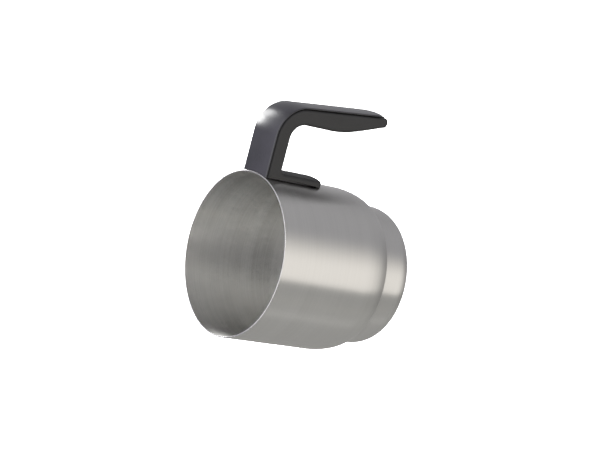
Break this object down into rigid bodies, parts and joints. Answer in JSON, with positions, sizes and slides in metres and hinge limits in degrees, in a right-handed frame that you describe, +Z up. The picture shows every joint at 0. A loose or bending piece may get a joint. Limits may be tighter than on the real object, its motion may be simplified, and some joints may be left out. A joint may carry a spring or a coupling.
{
  "type": "milk frother jug",
  "caption": "Open brushed steel jug of an induction milk frother, with a stepped base collar, a hooked plastic handle and a magnetic whisk that spins on a spindle and lifts out.",
  "frame": {"origin": "centre of the base disc's resting face, on the jug's axis", "axes": "+Z up the jug's axis to the mouth, +X towards the handle"},
  "size_m": [0.1503, 0.1, 0.1049],
  "materials": {
    "brushed_steel": "fine brushing round the jug, bright edge at the rim",
    "base_steel": "turned face, satin",
    "bright_steel": "polished stainless steel",
    "bracket_steel": "plain rolled sheet",
    "satin_shell": "satin, dark anthracite",
    "matte_body": "fine moulded grain",
    "whisk_plastic": "smooth moulding",
    "bush_plastic": "natural bearing plastic",
    "magnet_plating": "nickel plate",
    "seal_rubber": "soft seal"
  },
  "bodies": {
    "jug": {"jug_shell": "brushed_steel", "base_disc": "base_steel", "spindle_boss": "bright_steel", "whisk_spindle": "bright_steel", "handle_bracket": "bracket_steel", "handle_gasket": "seal_rubber", "handle_body": "matte_body", "handle_front_shell": "satin_shell", "handle_screw_1": "bracket_steel", "handle_screw_2": "bracket_steel", "bracket_nut_1": "bracket_steel", "bracket_nut_2": "bracket_steel"},
    "whisk_carrier": {"whisk_bush": "bush_plastic"},
    "whisk_rotor": {"whisk_hub": "whisk_plastic", "whisk_magnet_1": "magnet_plating", "whisk_magnet_2": "magnet_plating", "whisk_magnet_3": "magnet_plating", "whisk_magnet_4": "magnet_plating", "magnet_cover": "whisk_plastic", "whisk_coil": "bright_steel", "whisk_cap": "whisk_plastic"}
  },
  "joints": [
    {"name": "whisk_lift", "type": "slide", "parent": "jug", "child": "whisk_carrier", "axis": [0, 0, 1], "range_m": [0, 0.1]},
    {"name": "whisk_spin", "type": "hinge", "parent": "whisk_carrier", "child": "whisk_rotor", "pos_m": [0, 0, 0.0137], "axis": [0, 0, 1], "continuous": true}
  ]
}
